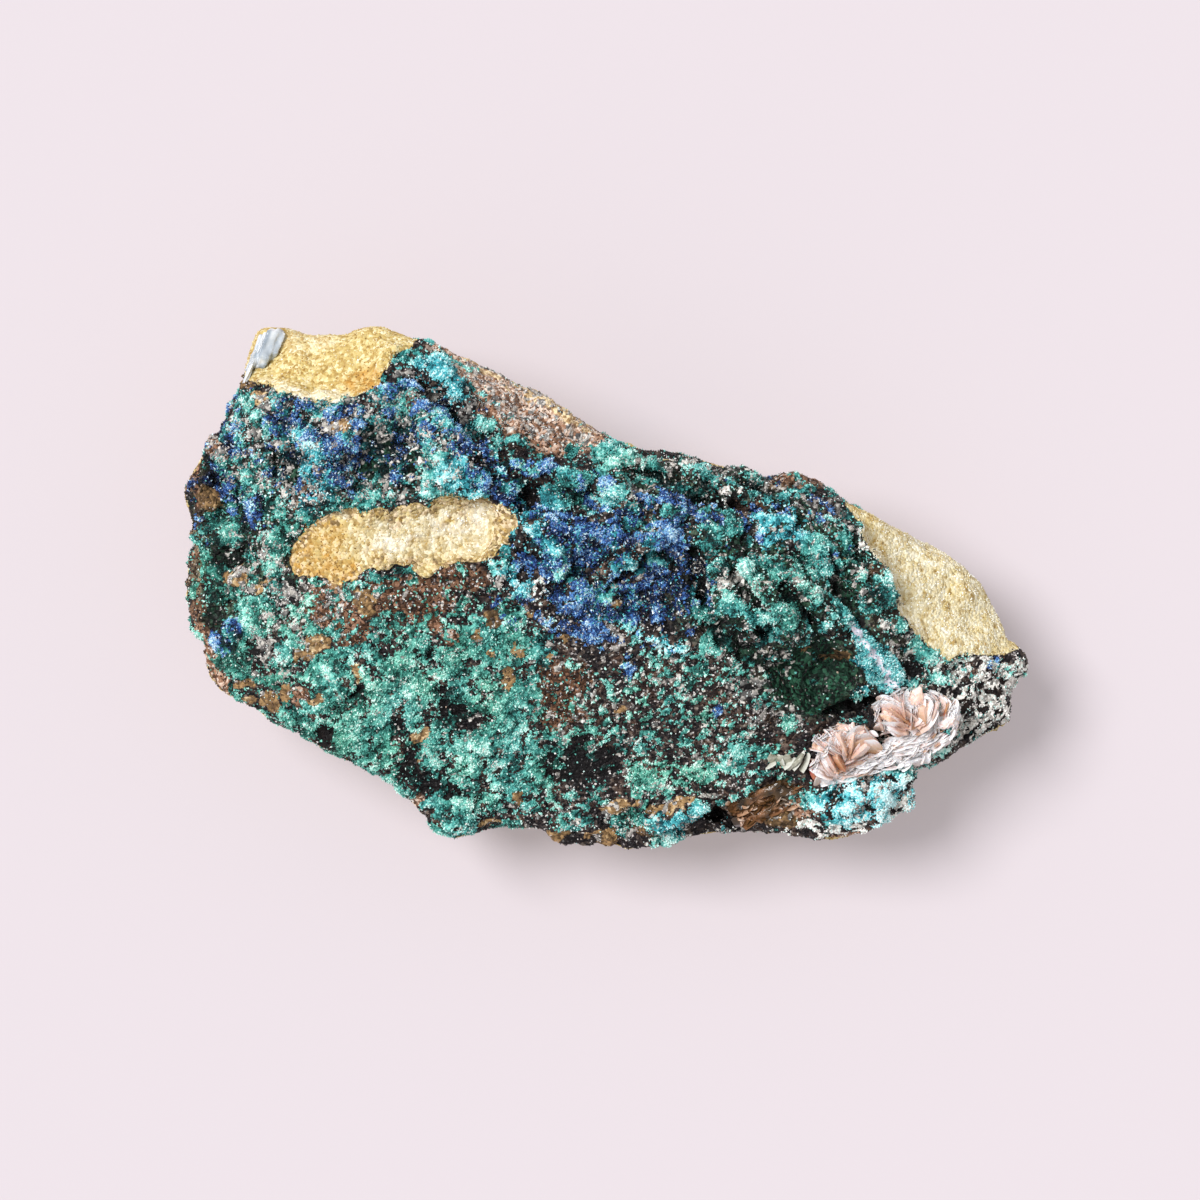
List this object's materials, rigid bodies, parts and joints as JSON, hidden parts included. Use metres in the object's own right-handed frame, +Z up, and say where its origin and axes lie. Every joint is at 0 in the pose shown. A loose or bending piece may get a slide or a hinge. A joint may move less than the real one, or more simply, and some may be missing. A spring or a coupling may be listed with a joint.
{
  "type": "azurite and malachite mineral specimen",
  "caption": "Display specimen: a broken block of tan sandstone under a lumpy crust of green malachite and blue azurite, with fans of pink baryte blades on one corner.",
  "frame": {"origin": "on the resting face, under the middle of the specimen's bounding box", "axes": "+X along the block's length, from its crusted end to its broken sandstone end; +Y towards the long back edge; +Z up, out of the crusted display face"},
  "size_m": [0.0843, 0.0523, 0.0288],
  "materials": {
    "crusted_rock": "tan sandstone under a sparkling crust of malachite, azurite and iron oxide",
    "pink_baryte": "pearly translucent blades",
    "brown_baryte": "iron-stained plates",
    "pale_plates": "dull pearly plates",
    "coated_blade": "white blade with a dusting of malachite",
    "grey_crystal": "glassy, clouded grey"
  },
  "bodies": {
    "root": {"host_rock": "crusted_rock", "pink_baryte": "pink_baryte", "brown_baryte": "brown_baryte", "pale_plates": "pale_plates", "coated_blade": "coated_blade", "corner_crystal": "grey_crystal"}
  },
  "joints": []
}
